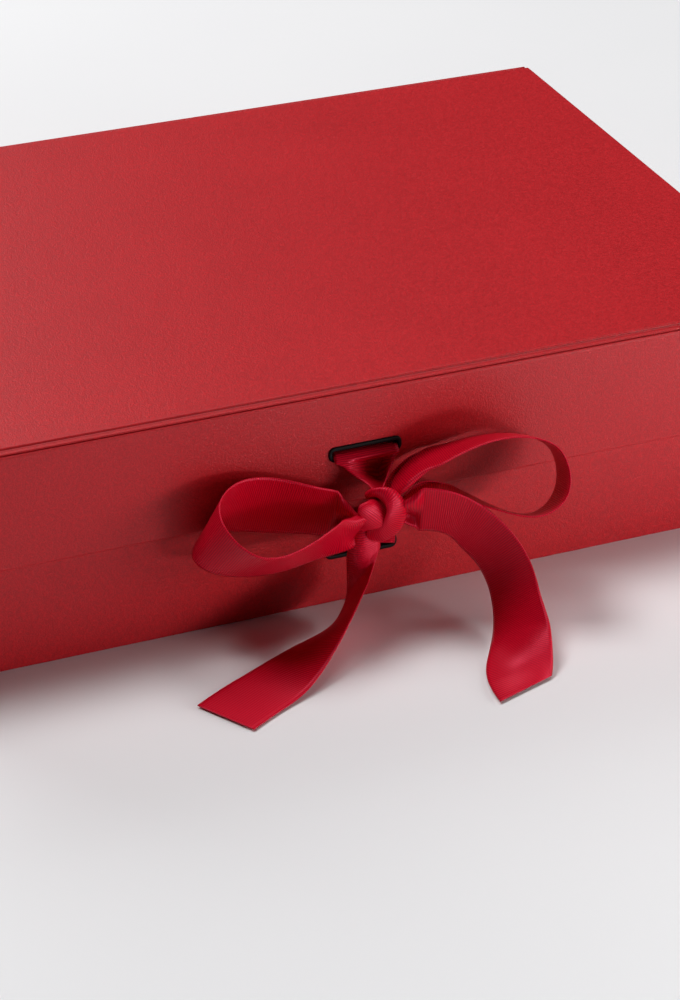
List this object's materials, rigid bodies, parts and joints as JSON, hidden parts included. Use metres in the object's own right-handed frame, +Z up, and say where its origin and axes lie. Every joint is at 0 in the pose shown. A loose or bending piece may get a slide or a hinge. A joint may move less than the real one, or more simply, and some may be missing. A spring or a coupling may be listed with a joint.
{
  "type": "gift box",
  "caption": "Shallow rigid gift box with a back-hinged lid, a magnetic front flap and a ribbon threaded through slots and tied in a bow.",
  "frame": {"origin": "centre of the closed box's footprint, on the underside of the base", "axes": "+Z up, -Y towards the front flap and its bow, +X to the right seen from the front"},
  "size_m": [0.226, 0.2104, 0.056],
  "materials": {
    "greyboard": "raw board, sealed inside the paper",
    "pearl_red_paper": "pearlescent, fine grain",
    "liner_paper": "plain matt lining paper",
    "magnet_nickel": "nickel plated",
    "steel_disc": "plain",
    "black_plastic": "satin black",
    "grosgrain_ribbon": "ribbed polyester grosgrain"
  },
  "bodies": {
    "box": {"base_board": "greyboard", "base_cover": "pearl_red_paper", "base_liner": "liner_paper", "front_wall_board": "greyboard", "front_wall_cover": "pearl_red_paper", "front_wall_liner": "liner_paper", "front_wall_steel_discs": "steel_disc", "left_wall_board": "greyboard", "left_wall_cover": "pearl_red_paper", "left_wall_liner": "liner_paper", "ribbon_inner_run": "grosgrain_ribbon", "ribbon_lower_strand": "grosgrain_ribbon", "right_wall_board": "greyboard", "right_wall_cover": "pearl_red_paper", "right_wall_liner": "liner_paper", "spine_board": "greyboard", "spine_cover": "pearl_red_paper", "spine_liner": "liner_paper", "wall_lower_eyelet": "black_plastic", "wall_upper_eyelet": "black_plastic"},
    "lid": {"flap_hinge_paper": "pearl_red_paper", "lid_board": "greyboard", "lid_cover": "pearl_red_paper", "lid_hinge_paper": "pearl_red_paper", "lid_liner": "liner_paper"},
    "flap": {"bow_knot": "grosgrain_ribbon", "bow_left_loop": "grosgrain_ribbon", "bow_left_tail": "grosgrain_ribbon", "bow_right_loop": "grosgrain_ribbon", "bow_right_tail": "grosgrain_ribbon", "flap_board": "greyboard", "flap_cover": "pearl_red_paper", "flap_eyelet": "black_plastic", "flap_liner": "liner_paper", "flap_magnets": "magnet_nickel", "ribbon_upper_strand": "grosgrain_ribbon"}
  },
  "joints": [
    {"name": "lid_hinge", "type": "hinge", "parent": "box", "child": "lid", "pos_m": [0, 0.07964, 0.05564], "axis": [-1, 0, 0], "range_deg": [0, 170]},
    {"name": "flap_hinge", "type": "hinge", "parent": "lid", "child": "flap", "pos_m": [0, -0.07964, 0.05564], "axis": [-1, 0, 0], "range_deg": [0, 90]}
  ]
}
